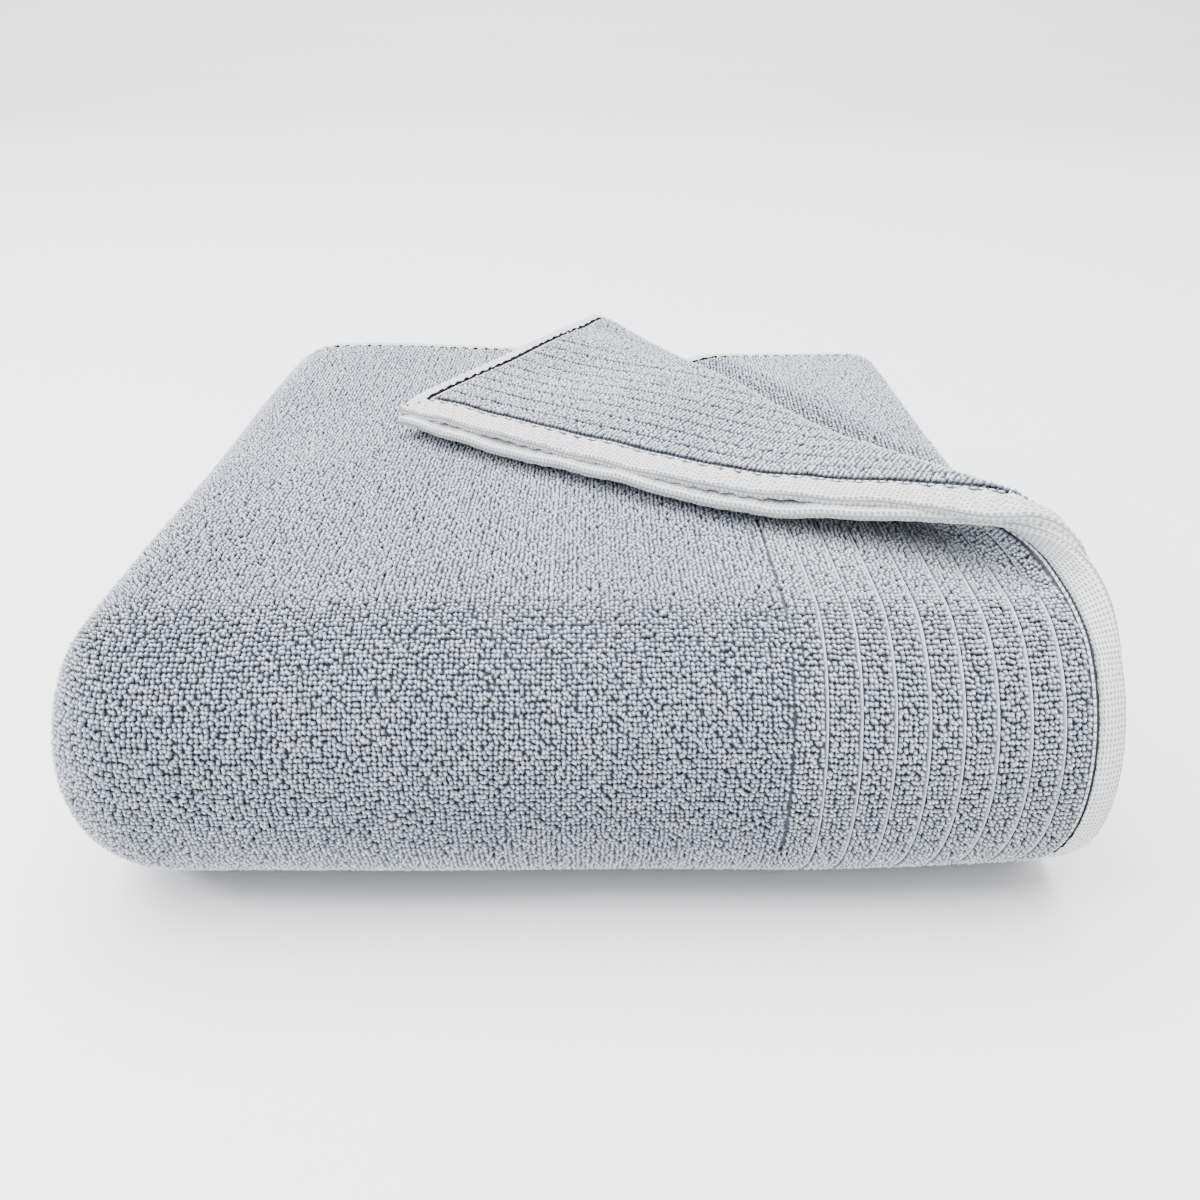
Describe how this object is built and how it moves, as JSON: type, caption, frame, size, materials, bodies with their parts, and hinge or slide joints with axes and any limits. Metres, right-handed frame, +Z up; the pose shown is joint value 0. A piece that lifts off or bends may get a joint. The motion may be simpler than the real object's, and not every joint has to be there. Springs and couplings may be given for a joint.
{
  "type": "folded bath towel",
  "caption": "Thick looped terry bath towel, folded into a soft flat stack with its long fold in front, ribbed bands at the ends and one back corner turned over.",
  "frame": {"origin": "under the middle of the folded towel's box, on the surface that it lies on", "axes": "+X to the right along the front fold, +Y from the front fold to the open back edges, +Z up"},
  "size_m": [0.3683, 0.3714, 0.1424],
  "materials": {
    "terry": "matt looped cotton terry, heather blue grey, with paler plain-woven hems"
  },
  "bodies": {
    "root": {"towel": "terry"}
  },
  "joints": []
}
